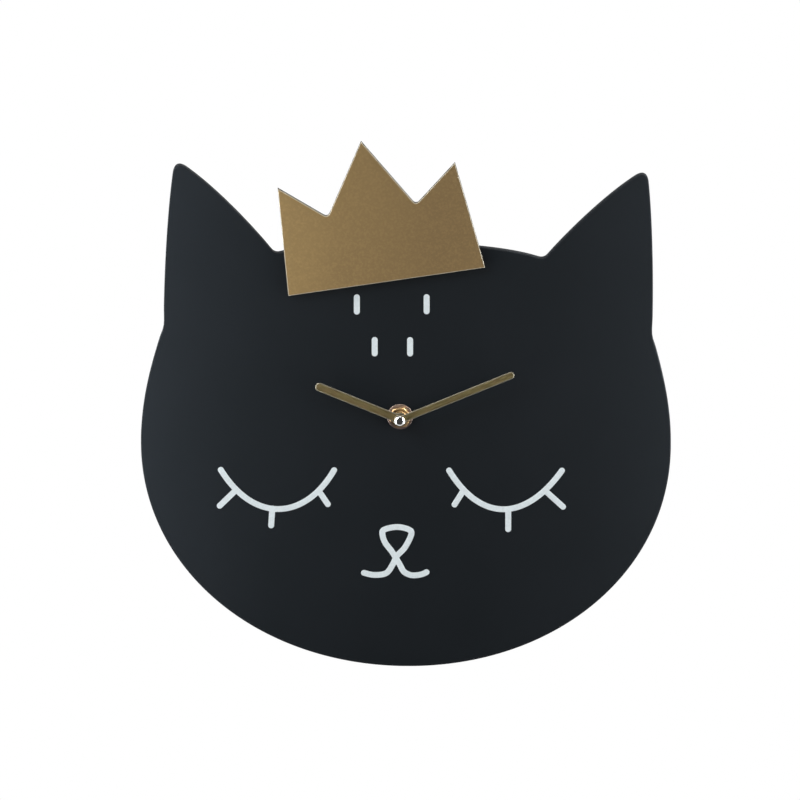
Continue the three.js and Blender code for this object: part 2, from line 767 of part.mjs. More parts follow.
function backCover() {
  const left = -roomSide + seatGap;
  const right = roomSide - seatGap;
  const plate = block(left, right, roomBottom + seatGap, roomTop - seatGap, 0, coverThickness);
  const wellRadius = knobRadius + seatGap;
  const wellFloor = wellDepth + wellWall;
  const well = disc(knobAxis, wellRadius + wellWall, 0, wellFloor);
  const bearings = [spindle, thirdAxis, fifthAxis, rotorAxis];
  const bossFront = coverThickness + bossHeight;
  const bossRadius = arborRadius + runGap + bossWall;
  const bosses = bearings.map((axis) => disc(axis, bossRadius, coverThickness - lap, bossFront));
  const post = (front) => (axis) => disc(axis, postRadius, coverThickness - lap, front - seatGap);
  const posts = [
    ...platePosts.map(post(middlePlateBack)),
    ...corePosts.map(post(thirdLevel)),
    ...boardPosts.map(post(boardBack)),
  ];
  const pivots = bearings.map((axis) => {
    return disc(axis, arborRadius + runGap, arborBack - seatGap, bossFront + past);
  });
  return cut(
    join(plate, well, ...bosses, ...posts),
    disc(knobAxis, wellRadius, -past, wellDepth),
    disc(knobAxis, knobShaftRadius + runGap, -past, wellFloor + past),
    ...pivots,
  );
}

// ---------------------------------------------------------------- movement: wheels
function pinionRoot(count, module) {
  return module * (count / 2 - pinionTooth.dedendum);
}

function centreWheel() {
  const wheelFront = centreLevel + wheelThickness;
  const cannonFront = minuteWorkLevel + wheelThickness + pinionOverhang;
  const hubRadius = pinionRoot(teeth.cannon, minuteWorkModule);
  const solid = join(
    wheel(spindle, teeth.centre, centreModule, phase.centre, centreLevel),
    disc(spindle, hubRadius, centreLevel - hubOverhang, minuteWorkLevel),
    pinion(spindle, teeth.cannon, minuteWorkModule, phase.cannon, wheelFront, cannonFront),
    disc(spindle, minuteShaftRadius, cannonFront - lap, capBoreEnd - seatGap),
  );
  return cut(solid, disc(spindle, centrePinRadius + runGap, middlePlateBack, wheelFront + seatGap));
}

function minuteWorkWheel() {
  const axis = minuteWorkAxis;
  const pinionBack = minuteWorkLevel + wheelThickness - lap;
  const pinionFront = hourLevel + wheelThickness + pinionOverhang;
  return join(
    wheel(axis, teeth.minuteWork, minuteWorkModule, phase.minuteWork, minuteWorkLevel),
    pinion(axis, teeth.minuteWorkPinion, hourModule, phase.minuteWorkPinion, pinionBack, pinionFront),
    disc(axis, arborRadius, middlePlateBack + seatGap, arborFront),
  );
}

function hourWheel() {
  const sleeveEnd = hourHandBack + 2 * handThickness;
  const solid = join(
    wheel(spindle, teeth.hour, hourModule, phase.hour, hourLevel),
    disc(spindle, hourSleeveOuter, hourLevel, sleeveEnd),
  );
  return cut(solid, disc(spindle, hourSleeveInner, hourLevel - past, sleeveEnd + past));
}

function thirdPinion() {
  const back = centreLevel - pinionOverhang;
  const front = centreLevel + wheelThickness + pinionOverhang;
  return join(
    disc(thirdAxis, arborRadius, arborBack, arborFront),
    pinion(thirdAxis, teeth.thirdPinion, centreModule, phase.thirdPinion, back, front),
  );
}

function thirdWheel() {
  const hubBack = thirdLevel - hubOverhang;
  const hubFront = thirdLevel + wheelThickness + hubOverhang;
  const solid = join(
    wheel(thirdAxis, teeth.third, thirdModule, phase.third, thirdLevel),
    disc(thirdAxis, clutchHubRadius, hubBack, hubFront),
  );
  return cut(solid, disc(thirdAxis, arborRadius + fitGap, hubBack - past, hubFront + past));
}

function fourthWheel() {
  const pinionBack = fourthLevel + wheelThickness - lap;
  const pinionFront = thirdLevel + wheelThickness + pinionOverhang;
  return join(
    wheel(spindle, teeth.fourth, fastModule, phase.fourth, fourthLevel),
    pinion(spindle, teeth.fourthPinion, thirdModule, phase.fourthPinion, pinionBack, pinionFront),
    disc(spindle, arborRadius, arborBack, shortArborFront),
  );
}

function fifthWheel() {
  const pinionBack = fifthLevel + wheelThickness - lap;
  const pinionFront = fourthLevel + wheelThickness + pinionOverhang;
  return join(
    wheel(fifthAxis, teeth.fifth, fastModule, phase.fifth, fifthLevel),
    pinion(fifthAxis, teeth.fifthPinion, fastModule, phase.fifthPinion, pinionBack, pinionFront),
    disc(fifthAxis, arborRadius, arborBack, shortArborFront),
  );
}

function rotorPinion() {
  const pinionFront = fifthLevel + wheelThickness + pinionOverhang;
  const seatFront = magnetBack - seatGap;
  return join(
    pinion(rotorAxis, teeth.rotorPinion, fastModule, phase.rotorPinion, fifthLevel, pinionFront),
    disc(rotorAxis, magnetSeatRadius, seatFront - magnetSeatThickness, seatFront),
    disc(rotorAxis, arborRadius, arborBack, shortArborFront),
  );
}

function rotorMagnet() {
  return ring(rotorAxis, arborRadius + fitGap, magnetRadius, magnetBack, magnetBack + magnetThickness);
}

function settingKnob() {
  const fluted = [];
  for (let i = 0; i < 2 * knobFlutes; i += 1) {
    const radius = i % 2 ? knobRadius : knobRadius - knobFluteDepth;
    fluted.push(polar(knobAxis, radius, (180 / knobFlutes) * i));
  }
  const gripTop = seatGap + knobThickness;
  const back = minuteWorkLevel - pinionOverhang;
  const front = minuteWorkLevel + wheelThickness + pinionOverhang;
  return join(
    raise(fluted, seatGap, gripTop),
    disc(knobAxis, knobShaftRadius, gripTop - lap, arborFront),
    pinion(knobAxis, teeth.knob, minuteWorkModule, phase.knob, back, front),
  );
}

// ---------------------------------------------------------------- movement: motor and electrics
function stator() {
  const back = thirdLevel;
  const front = thirdLevel + statorThickness;
  const hole = magnetRadius + statorAir;
  const half = statorBar / 2;
  const low = coilMiddleY - coreEnd;
  const high = coilMiddleY + coreEnd;
  const left = rotorAxis.x - half;
  const right = coilX + coreWidth / 2;
  const solid = join(
    disc(rotorAxis, hole + statorRing, back, front),
    block(left, left + statorBar, low, high, back, front),
    block(left, right, low, low + coreLap, back, front),
    block(left, right, high - coreLap, high, back, front),
  );
  return cut(solid, disc(rotorAxis, hole, back - past, front + past));
}

function coilCore() {
  const half = coreWidth / 2;
  return block(coilX - half, coilX + half, coilMiddleY - coreEnd, coilMiddleY + coreEnd, coreBack, coreFront);
}

// A cylinder along y with its middle on the coil's axis.
function coilDisc(radius, bottom, top) {
  const length = top - bottom;
  const geometry = new THREE.CylinderGeometry(radius, radius, length, 24);
  geometry.translate(coilX, (bottom + top) / 2, coilAxisLevel);
  return solidOf(geometry);
}

const bobbinTubeRadius = coreWidth / 2 + bobbinWall;

function coilBobbin() {
  const low = coilMiddleY - coilLength / 2;
  const high = coilMiddleY + coilLength / 2;
  const bottom = low - coilFlangeThickness;
  const top = high + coilFlangeThickness;
  const solid = join(
    coilDisc(bobbinTubeRadius, bottom, top),
    coilDisc(coilFlangeRadius, bottom, low),
    coilDisc(coilFlangeRadius, high, top),
  );
  const half = coreWidth / 2 + fitGap;
  const window = block(
    coilX - half,
    coilX + half,
    bottom - past,
    top + past,
    coreBack - fitGap,
    coreFront + fitGap,
  );
  return cut(solid, window);
}

function coilWinding() {
  const low = coilMiddleY - coilLength / 2 + fitGap;
  const high = coilMiddleY + coilLength / 2 - fitGap;
  return cut(coilDisc(coilRadius, low, high), coilDisc(bobbinTubeRadius + fitGap, low - past, high + past));
}

function circuitBoard() {
  return block(boardLeft, boardRight, boardBottom, boardTop, boardBack, boardFront);
}

function chip() {
  const left = boardLeft + chipFromLeft;
  const bottom = boardBottom + chipFromBottom;
  const back = boardFront + seatGap;
  return block(left, left + chipSize, bottom, bottom + chipSize, back, back + chipThickness);
}

function crystal() {
  const geometry = new THREE.CylinderGeometry(crystalRadius, crystalRadius, crystalLength, 16);
  geometry.rotateZ(Math.PI / 2);
  const x = (boardLeft + boardRight) / 2;
  geometry.translate(x, boardTop - 2 * crystalRadius, boardFront + seatGap + crystalRadius);
  return solidOf(geometry);
}

// A pad against the battery's end, on a narrow strip that runs up the case and along the board.
function contact(side, bow, boardEnd) {
  const at = (x, y) => new THREE.Vector2(x, y);
  const half = batteryRadius - padInset;
  const x = side * stripX;
  const low = at(x, batteryY - half);
  const high = at(x, batteryY + half);
  const pad = bentStrip([low, at(x - side * bow, batteryY), high], batteryZ - half, batteryZ + half);
  const strip = bentStrip([high, at(x, stripY), at(boardEnd, stripY)], fifthLevel, stripFront);
  return join(pad, strip);
}

function springContact() {
  return contact(-1, springReach, boardLeft + stripOnBoard);
}

function plusContact() {
  return contact(1, 0, boardRight - stripOnBoard);
}

function batteryProfile() {
  return [
    [0, 0],
    [batteryRadius - batteryCrimp, 0],
    [batteryRadius, batteryCrimp],
    [batteryRadius, batteryBody - batteryCrimp],
    [batteryRadius - batteryCrimp, batteryBody],
    [batteryNubRadius, batteryBody],
    [batteryNubRadius, batteryBody + batteryNub],
    [0, batteryBody + batteryNub],
  ];
}

function battery() {
  const profile = batteryProfile().map(([radius, along]) => new THREE.Vector2(radius, along));
  const geometry = new THREE.LatheGeometry(profile, 36);
  geometry.rotateZ(-Math.PI / 2);
  geometry.translate(batteryLeft, batteryY, batteryZ);
  return solidOf(geometry);
}

// ---------------------------------------------------------------- the clock
const clock = new THREE.Group();

function add(name, solid, finish) {
  const mesh = new THREE.Mesh(geometryOf(solid), finish);
  mesh.name = name;
  clock.add(mesh);
}

add("head_plate", headPlate(), blackPlate);
add("crown", crown(), gold);
add("crown_tape", crownTape(), tapeWhite);
add("gasket", gasket(), rubber);
add("washer", washer(), brass);
add("nut", nut(), brass);
add("threaded_bush", threadedBush(), brass);
add("hour_hand", hourHand(), handGold);
add("minute_hand", minuteHand(), handGold);
add("cap_nut", capNut(), chrome);
add("movement_case", movementCase(), blackPlastic);
add("middle_plate", middlePlate(), whitePlastic);
add("back_cover", backCover(), blackPlastic);
add("centre_wheel", centreWheel(), whitePlastic);
add("minute_work_wheel", minuteWorkWheel(), whitePlastic);
add("hour_wheel", hourWheel(), whitePlastic);
add("third_pinion", thirdPinion(), steel);
add("third_wheel", thirdWheel(), whitePlastic);
add("fourth_wheel", fourthWheel(), whitePlastic);
add("fifth_wheel", fifthWheel(), whitePlastic);
add("rotor_pinion", rotorPinion(), whitePlastic);
add("rotor_magnet", rotorMagnet(), magnetGrey);
add("setting_knob", settingKnob(), blackPlastic);
add("stator", stator(), steel);
add("coil_core", coilCore(), steel);
add("coil_bobbin", coilBobbin(), whitePlastic);
add("coil_winding", coilWinding(), copper);
add("circuit_board", circuitBoard(), boardBrown);
add("chip", chip(), blackPlastic);
add("crystal", crystal(), chrome);
add("spring_contact", springContact(), steel);
add("plus_contact", plusContact(), steel);
add("battery", battery(), batteryShell);

clock.rotation.x = Math.PI / 2;

const part = new THREE.Group();
part.add(clock);
export default part;
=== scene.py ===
"""Looks of the cat-head wall clock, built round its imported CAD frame.

Blender objects are in metres: +X right, +Z up, and the clock faces -Y. Modelled pieces are made in the
clock's own millimetres, (x right, y up, level forward from the wall), and TO_FRAME turns them into place.
"""
import math

import bmesh
import bpy
import numpy as np
from mathutils import Matrix, Vector


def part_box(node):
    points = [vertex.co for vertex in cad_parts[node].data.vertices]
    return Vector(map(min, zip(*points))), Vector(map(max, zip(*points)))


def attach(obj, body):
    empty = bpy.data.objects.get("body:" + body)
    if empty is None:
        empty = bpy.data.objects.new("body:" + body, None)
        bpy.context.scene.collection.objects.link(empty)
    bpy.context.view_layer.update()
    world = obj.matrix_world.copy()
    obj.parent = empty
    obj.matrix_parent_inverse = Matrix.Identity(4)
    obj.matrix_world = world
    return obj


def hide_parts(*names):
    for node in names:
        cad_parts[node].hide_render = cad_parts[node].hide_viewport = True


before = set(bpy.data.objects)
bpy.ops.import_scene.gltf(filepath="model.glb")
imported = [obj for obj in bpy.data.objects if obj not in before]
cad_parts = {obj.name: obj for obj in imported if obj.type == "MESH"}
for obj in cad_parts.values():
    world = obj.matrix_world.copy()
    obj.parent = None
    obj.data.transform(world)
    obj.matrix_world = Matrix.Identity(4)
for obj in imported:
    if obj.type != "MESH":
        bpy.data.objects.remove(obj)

MM = 0.001
TO_FRAME = Matrix(((MM, 0, 0, 0), (0, 0, -MM, 0), (0, MM, 0, 0), (0, 0, 0, 1)))
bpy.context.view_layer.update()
FULL_TURN = 2 * math.pi


def levels(node):
    """The back and front of a CAD node, in mm forward from the wall."""
    low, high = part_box(node)
    return -high.y / MM, -low.y / MM


# ---------------------------------------------------------------- materials
COLOR_A, COLOR_B, MIXED_COLOR = 6, 7, 2  # sockets of a Mix node of colours, whose names aren't unique
NUMBER_A, NUMBER_B, MIXED_NUMBER = 2, 3, 0  # and of a Mix node of numbers


def add_node(tree, kind, inputs, **settings):
    """A new node of a tree, with a link or a value for each of its inputs."""
    made = tree.nodes.new("ShaderNode" + kind)
    for key, value in settings.items():
        setattr(made, key, value)
    for key, value in inputs.items():
        if isinstance(value, bpy.types.NodeSocket):
            tree.links.new(value, made.inputs[key])
        else:
            made.inputs[key].default_value = value
    return made


class Finish:
    """A node material: one Principled shader and the textures that drive it."""

    def __init__(self, name, color, roughness, metallic=0.0, **constants):
        self.material = bpy.data.materials.new(name)
        self.material.use_nodes = True
        self.tree = self.material.node_tree
        self.shader = self.tree.nodes["Principled BSDF"]
        self.color = (*color, 1.0)
        self.shader.inputs["Base Color"].default_value = self.color
        self.shader.inputs["Roughness"].default_value = roughness
        self.shader.inputs["Metallic"].default_value = metallic
        for socket, value in constants.items():
            self.shader.inputs[socket.replace("_", " ")].default_value = value
        self.normal = None

    def node(self, kind, inputs, **settings):
        """A new node of this material."""
        return add_node(self.tree, kind, inputs, **settings)

    def place(self, turn=0.0, stretch=(1, 1, 1)):
        """Places on the piece, turned in degrees round the clock's axis and then stretched."""
        where = self.node("TexCoord", {}).outputs["Object"]
        if not turn and stretch == (1, 1, 1):
            return where
        turned = self.node("Mapping", {"Vector": where, "Rotation": (0, math.radians(turn), 0)})
        return self.node("Mapping", {"Vector": turned.outputs[0], "Scale": stretch}).outputs[0]

    def along(self, axis):
        """How far a place is along an axis of the frame, in metres."""
        return self.node("SeparateXYZ", {0: self.place()}).outputs[axis]

    def noise(self, size, detail, rough=0.5, where=None):
        """Cloudy noise whose features are about size mm across, with detail finer layers on top."""
        inputs = {"Vector": where or self.place(), "Scale": 1 / (size * MM), "Detail": detail,
                  "Roughness": rough}
        return self.node("TexNoise", inputs).outputs["Fac"]

    def rings(self, size):
        """Turning marks about size mm wide: noise that changes only with the distance from the axis."""
        flat = self.node("Mapping", {"Vector": self.place(), "Scale": (1, 0, 1)}).outputs[0]
        radius = self.node("VectorMath", {0: flat}, operation="LENGTH").outputs["Value"]
        inputs = {"W": radius, "Scale": 1 / (size * MM), "Detail": 2.0}
        return self.node("TexNoise", inputs, noise_dimensions="1D").outputs["Fac"]

    def between(self, amount, low, high, start=0.3, end=0.7):
        """A number that runs from low to high as amount runs from start to end."""
        inputs = {"Value": amount, "From Min": start, "From Max": end, "To Min": low, "To Max": high}
        return self.node("MapRange", inputs).outputs["Result"]

    def tint(self, amount, other, start=0.3, end=0.7, blend="MIX"):
        """Mixes another colour in, as amount runs from start to end."""
        base = self.shader.inputs["Base Color"]
        inputs = {"Factor": self.between(amount, 0, 1, start, end), COLOR_B: (*other, 1.0),
                  COLOR_A: base.links[0].from_socket if base.links else self.color}
        mix = self.node("Mix", inputs, data_type="RGBA", blend_type=blend)
        self.tree.links.new(mix.outputs[MIXED_COLOR], base)

    def shade(self, amount, factor, start, end):
        """Multiplies the colour by a factor, as amount runs from start to end."""
        self.tint(amount, factor, start, end, "MULTIPLY")

    def gloss(self, amount, low, high):
        """Roughness that runs from low to high with amount."""
        self.tree.links.new(self.between(amount, low, high), self.shader.inputs["Roughness"])

    def bump(self, amount, height, strength=1.0):
        """Relief of a height in mm."""
        inputs = {"Height": amount, "Distance": height * MM, "Strength": strength}
        if self.normal is not None:
            inputs["Normal"] = self.normal
        self.normal = self.node("Bump", inputs).outputs["Normal"]
        self.tree.links.new(self.normal, self.shader.inputs["Normal"])


def head_black():
    """Satin black lacquer with a very fine orange peel."""
    finish = Finish("head_black", (0.0018, 0.0042, 0.0064), 0.38, Specular_IOR_Level=0.27)
    finish.tint(finish.noise(60, 3), (0.0032, 0.0056, 0.0082))
    finish.gloss(finish.noise(0.7, 3), 0.35, 0.41)
    finish.bump(finish.noise(0.35, 2), 0.006, 0.5)
    finish.bump(finish.noise(1.4, 1), 0.006, 0.5)
    return finish.material


def head_side():
    """The board's cut edge: the same black, but dull."""
    finish = Finish("head_side", (0.0075, 0.0090, 0.0110), 0.8, Specular_IOR_Level=0.1)
    finish.tint(finish.noise(1.2, 3), (0.011, 0.013, 0.015))
    finish.gloss(finish.noise(0.8, 2), 0.7, 0.9)
    finish.bump(finish.noise(0.3, 3), 0.02)
    return finish.material


def print_white():
    """Screen-printed white, a little uneven."""
    finish = Finish("print_white", (0.66, 0.73, 0.75), 0.45)
    finish.tint(finish.noise(1.1, 3), (0.74, 0.81, 0.83))
    finish.gloss(finish.noise(0.6, 2), 0.40, 0.55)
    finish.bump(finish.noise(0.25, 2), 0.006)
    return finish.material


def crown_gold():
    """Gold paint with fine flecks, and painted shade that darkens it towards its right."""
    finish = Finish("crown_gold", (0.211, 0.137, 0.054), 0.5, 0.85)
    finish.tint(finish.noise(45, 3), (0.197, 0.127, 0.051))
    fleck = finish.noise(1.3, 3, 0.6)
    finish.tint(fleck, (0.245, 0.159, 0.063), 0.44, 0.72)
    # Painted shade: the colour is multiplied darker from the crown's left to its right, standing in for light
    # that falls off across it.
    finish.shade(finish.along("X"), (0.80, 0.79, 0.83), -70 * MM, 20 * MM)
    finish.gloss(finish.noise(1.1, 3, 0.6), 0.49, 0.53)
    finish.bump(fleck, 0.014, 0.6)
    finish.bump(finish.noise(3.5, 2), 0.022, 0.4)
    return finish.material


def crown_rim_wear_and_highlight():
    """The crown's broken front edge in a pale colour: partly worn paint, partly a painted highlight along the
    edge.
    """
    finish = Finish("crown_rim_wear_and_highlight", (0.44, 0.39, 0.30), 0.5, 0.15, Specular_IOR_Level=0.1)
    finish.tint(finish.noise(2.5, 3), (0.38, 0.33, 0.24))
    finish.gloss(finish.noise(0.5, 2), 0.44, 0.56)
    finish.bump(finish.noise(0.3, 2), 0.006)
    return finish.material


def crown_side():
    """The crown's cut edge, dark: partly its own dark colour, partly painted shade for a side wall out of the
    light.
    """
    finish = Finish("crown_side", (0.018, 0.014, 0.010), 0.7, Specular_IOR_Level=0.0)
    finish.tint(finish.noise(1.5, 3), (0.032, 0.024, 0.017))
    finish.gloss(finish.noise(0.8, 2), 0.5, 0.7)
    finish.bump(finish.noise(0.4, 2, where=finish.place(stretch=(1, 0.2, 1))), 0.02)
    return finish.material


def hand_gold(name, turn):
    """Gilding brushed along a hand that points at turn degrees."""
    finish = Finish(name, (0.155, 0.118, 0.045), 0.4, 0.9)
    lines = finish.noise(0.5, 4, 0.7, finish.place(turn, (0.08, 1, 1)))
    finish.tint(lines, (0.24, 0.19, 0.083))
    finish.gloss(lines, 0.32, 0.50)
    finish.tint(finish.noise(5, 2), (0.21, 0.142, 0.068), 0.45, 0.75)
    finish.bump(lines, 0.02)
    return finish.material


def hand_rim_highlight():
    """The hands' edges, which the stamping rounded, in a paler, less metallic gilding: a painted highlight
    along them.
    """
    finish = Finish("hand_rim_highlight", (0.135, 0.118, 0.080), 0.5, 0.6)
    finish.tint(finish.noise(2, 3), (0.112, 0.096, 0.060))
    finish.gloss(finish.noise(0.5, 2), 0.46, 0.58)
    finish.bump(finish.noise(0.3, 2), 0.006)
    return finish.material


def brass(name, color, tarnish, low=0.18, high=0.34, painted_shade_left=None):
    """Turned brass, darkened by painted shade towards its underside, and towards its left where a factor for
    that painted shade is given.
    """
    finish = Finish(name, color, low, 1.0)
    marks = finish.rings(0.12)
    finish.tint(finish.noise(1.6, 3), tarnish)
    if painted_shade_left:
        # Painted shade on the left, which dims the highlight there.
        finish.shade(finish.along("X"), painted_shade_left, 1.5 * MM, -3.5 * MM)
    # Painted shade: the colour darkens towards the underside.
    finish.shade(finish.along("Z"), (0.40, 0.38, 0.42), 0.5 * MM, -4 * MM)
    finish.gloss(marks, low, high)
    finish.bump(marks, 0.006)
    return finish.material


def chrome():
    """Bright plating over faint turning marks."""
    finish = Finish("chrome", (0.76, 0.75, 0.73), 0.10, 1.0)
    finish.gloss(finish.noise(0.8, 3), 0.09, 0.15)
    finish.bump(finish.rings(0.2), 0.001)
    return finish.material


def moulded(name, color, other, low, high, grain=0.25, height=0.012, **constants):
    """A moulded plastic with a fine eroded grain, of a size and height in mm."""
    finish = Finish(name, color, low, **constants)
    finish.tint(finish.noise(8, 3), other)
    fine = finish.noise(grain, 3, 0.6)
    finish.gloss(fine, low, high)
    finish.bump(fine, height)
    return finish.material


def rubber():
    """Dull black rubber."""
    return moulded("rubber", (0.018, 0.018, 0.018), (0.028, 0.027, 0.026), 0.75, 0.92, 0.5, 0.03)


def foam():
    """White tape foam with open cells."""
    finish = Finish("tape_foam", (0.72, 0.70, 0.65), 0.85)
    inputs = {"Vector": finish.place(), "Scale": 1 / (0.35 * MM)}
    cells = finish.node("TexVoronoi", inputs).outputs["Distance"]
    finish.tint(cells, (0.55, 0.53, 0.48), 0.1, 0.6)
    finish.gloss(finish.noise(1, 2), 0.8, 0.95)
    finish.bump(cells, 0.05)
    return finish.material


def steel(name="steel", color=(0.52, 0.52, 0.51), stretch=(0.05, 1, 1)):
    """Rolled sheet steel, or evenly grained steel without the stretch."""
    finish = Finish(name, color, 0.32, 1.0)
    lines = finish.noise(0.15, 3, 0.6, finish.place(stretch=stretch))
    finish.tint(finish.noise(4, 3), tuple(0.85 * c for c in color))
    finish.gloss(lines, 0.26, 0.44)
    finish.bump(lines, 0.005)
    return finish.material


def magnet():
    """Grey sintered ferrite with small bright grains."""
    finish = Finish("magnet", (0.075, 0.075, 0.085), 0.5, 0.6)
    finish.tint(finish.noise(0.2, 2), (0.13, 0.13, 0.14), 0.5, 0.7)
    finish.gloss(finish.noise(0.5, 2), 0.42, 0.6)
    finish.bump(finish.noise(0.15, 2), 0.01)
    return finish.material


def winding():
    """Varnished copper wire, wound in turns."""
    finish = Finish("winding", (0.52, 0.17, 0.055), 0.3, 0.9, Coat_Weight=0.4)
    inputs = {"Vector": finish.place(), "Scale": 1 / (0.9 * MM), "Distortion": 0.4}
    wires = finish.node("TexWave", inputs, bands_direction="Z").outputs["Fac"]
    finish.tint(wires, (0.28, 0.08, 0.025), 0.1, 0.6)
    finish.gloss(finish.noise(1, 2), 0.24, 0.38)
    finish.bump(wires, 0.05)
    return finish.material


def board():
    """Brown resin board with paper fibres."""
    finish = Finish("board", (0.25, 0.14, 0.045), 0.55)
    fibres = finish.noise(0.5, 3, 0.7, finish.place(30, (0.2, 1, 1)))
    finish.tint(fibres, (0.34, 0.20, 0.075))
    finish.gloss(fibres, 0.48, 0.62)
    finish.bump(fibres, 0.006)
    return finish.material


def battery_sleeve():
    """A plain lacquered sleeve: slate, with a copper band towards the plus end."""
    finish = Finish("battery_sleeve", (0.045, 0.070, 0.100), 0.3, 0.5, Coat_Weight=0.6)
    finish.tint(finish.noise(5, 3), (0.055, 0.082, 0.115))
    finish.tint(finish.along("X"), (0.46, 0.21, 0.09), 9.8 * MM, 10 * MM)
    finish.gloss(finish.noise(0.7, 3), 0.26, 0.38)
    finish.bump(finish.noise(0.4, 2), 0.004)
    return finish.material


# ---------------------------------------------------------------- outlines, in mm
def cubic(start, a, b, end, steps=40):
    """Points along a cubic curve from start to end, with the control points a and b."""
    start, a, b, end = (Vector(point) for point in (start, a, b, end))
    found = []
    for i in range(steps + 1):
        t = i / steps
        u = 1 - t
        found.append(start * u ** 3 + a * 3 * t * u * u + b * 3 * t * t * u + end * t ** 3)
    return found


def smooth(points, steps, closed=False):
    """A Catmull-Rom curve through the points, with a number of steps from each to the next."""
    points = [Vector(point) for point in points]
    padded = points[-1:] + points + points[:2] if closed else points[:1] + points + points[-1:]
    found = []
    for p, q, r, s in zip(padded, padded[1:], padded[2:], padded[3:]):
        for k in range(steps):
            t = k / steps
            found.append(0.5 * (2 * q + (r - p) * t + (2 * p - 5 * q + 4 * r - s) * t * t
                                + (3 * q - p - 3 * r + s) * t ** 3))
    return found if closed else found + points[-1:]


def circle(radius, sides, hole=False):
    """Points round the clock's axis. A hole's run the other way."""
    up = -radius if hole else radius
    return [Vector((radius * math.cos(t), up * math.sin(t)))
            for t in np.linspace(0, FULL_TURN, sides + 1)[:-1]]


def tidied(loop, least=0.04):
    """The loop without points nearer than least to the one before."""
    kept = [loop[0]]
    for point in loop[1:]:
        if (point - kept[-1]).length > least:
            kept.append(point)
    if (kept[0] - kept[-1]).length < least:
        kept.pop()
    return kept


def distances(paths, x, y):
    """How far each grid place (x, y) is from the nearest of the paths."""
    away = np.full((x.size, y.size), np.inf)
    for path in paths:
        for p, q in zip(path[:-1], path[1:]):
            d = np.array([q[0] - p[0], q[1] - p[1]])
            t = ((x - p[0]) * d[0] + (y - p[1]) * d[1]) / max(d @ d, 1e-12)
            t = np.clip(t, 0, 1)
            away = np.minimum(away, np.hypot(x - p[0] - t * d[0], y - p[1] - t * d[1]))
    return away


def stroked(paths, half, grid=0.25):
    """The closed outlines of everything nearer than half to one of the paths, by marching squares. The edges
    of each grid square that the outline crosses are paired, and the pairs are then strung into loops."""
    points = np.array([[p[0], p[1]] for path in paths for p in path])
    low = points.min(0) - half - 2 * grid
    count = np.ceil((points.max(0) + half + 2 * grid - low) / grid).astype(int) + 1
    beyond = distances(paths, low[0] + grid * np.arange(count[0])[:, None],
                       low[1] + grid * np.arange(count[1])[None, :]) - half
    inside = beyond < 0
    corners_inside = inside[:-1, :-1].astype(int) + inside[1:, :-1] + inside[1:, 1:] + inside[:-1, 1:]
    ring = ((0, 0), (1, 0), (1, 1), (0, 1))
    following, places = {}, {}
    for i, j in np.argwhere((corners_inside > 0) & (corners_inside < 4)):
        crossings = []
        for (di, dj), (ei, ej) in zip(ring, ring[1:] + ring[:1]):
            a, b = (i + di, j + dj), (i + ei, j + ej)
            if inside[a] != inside[b]:
                edge = (min(a, b), max(a, b))
                t = beyond[a] / (beyond[a] - beyond[b])
                at = [a[m] + t * (b[m] - a[m]) for m in (0, 1)]
                places[edge] = Vector((low[0] + grid * at[0], low[1] + grid * at[1]))
                crossings.append(("out" if inside[a] else "in", edge))
        if crossings[0][0] == "out":
            crossings = crossings[-1:] + crossings[:-1]
        for (_, entry), (_, leaving) in zip(crossings[::2], crossings[1::2]):
            following[leaving] = entry
    outlines = []
    while following:
        loop, edge = [], next(iter(following))
        while edge in following:
            loop.append(places[edge])
            edge = following.pop(edge)
        outlines.append(tidied(loop))
    return outlines


def wall_outline(node, weld=0.001, near=0.02):
    """A flat CAD node's full outline: the edge between its side wall and its front chamfer."""
    mesh = bmesh.new()
    mesh.from_mesh(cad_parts[node].data)
    bmesh.ops.remove_doubles(mesh, verts=mesh.verts, dist=weld * MM)
    level = sorted({round(-v.co.y / MM, 2) for v in mesh.verts})[-2]
    on_edge = {v for v in mesh.verts if abs(-v.co.y / MM - level) < near}
    first = min(on_edge, key=lambda v: (v.co.x, v.co.z))
    loop, last, here = [], None, first
    while not loop or here is not first:
        loop.append(Vector((here.co.x / MM, here.co.z / MM)))
        ways = [link.other_vert(here) for link in here.link_edges]
        last, here = here, next(v for v in ways if v in on_edge and v is not last)
    mesh.free()
    area = sum(a.x * b.y - b.x * a.y for a, b in zip(loop, loop[1:] + loop[:1]))
    return loop if area > 0 else loop[::-1]


# ---------------------------------------------------------------- solids, in mm
def outward(loop):
    """The mitred outward normal of each point of a loop whose solid lies on its left."""
    found = []
    for before, here, after in zip(loop[-1:] + loop[:-1], loop, loop[1:] + loop[:1]):
        a, b = (here - before).normalized(), (after - here).normalized()
        m, n = Vector((a.y, -a.x)), Vector((b.y, -b.x))
        found.append((m + n) / max(1 + m.dot(n), 0.2))
    return found


def quarter(edge, steps):
    """(inset, depth) pairs of a rounded edge, from its side to its face. edge is its width and depth."""
    angles = [math.pi / 2 * i / steps for i in range(steps + 1)]
    return [(edge[0] * (1 - math.cos(a)), edge[1] * (1 - math.sin(a))) for a in angles]


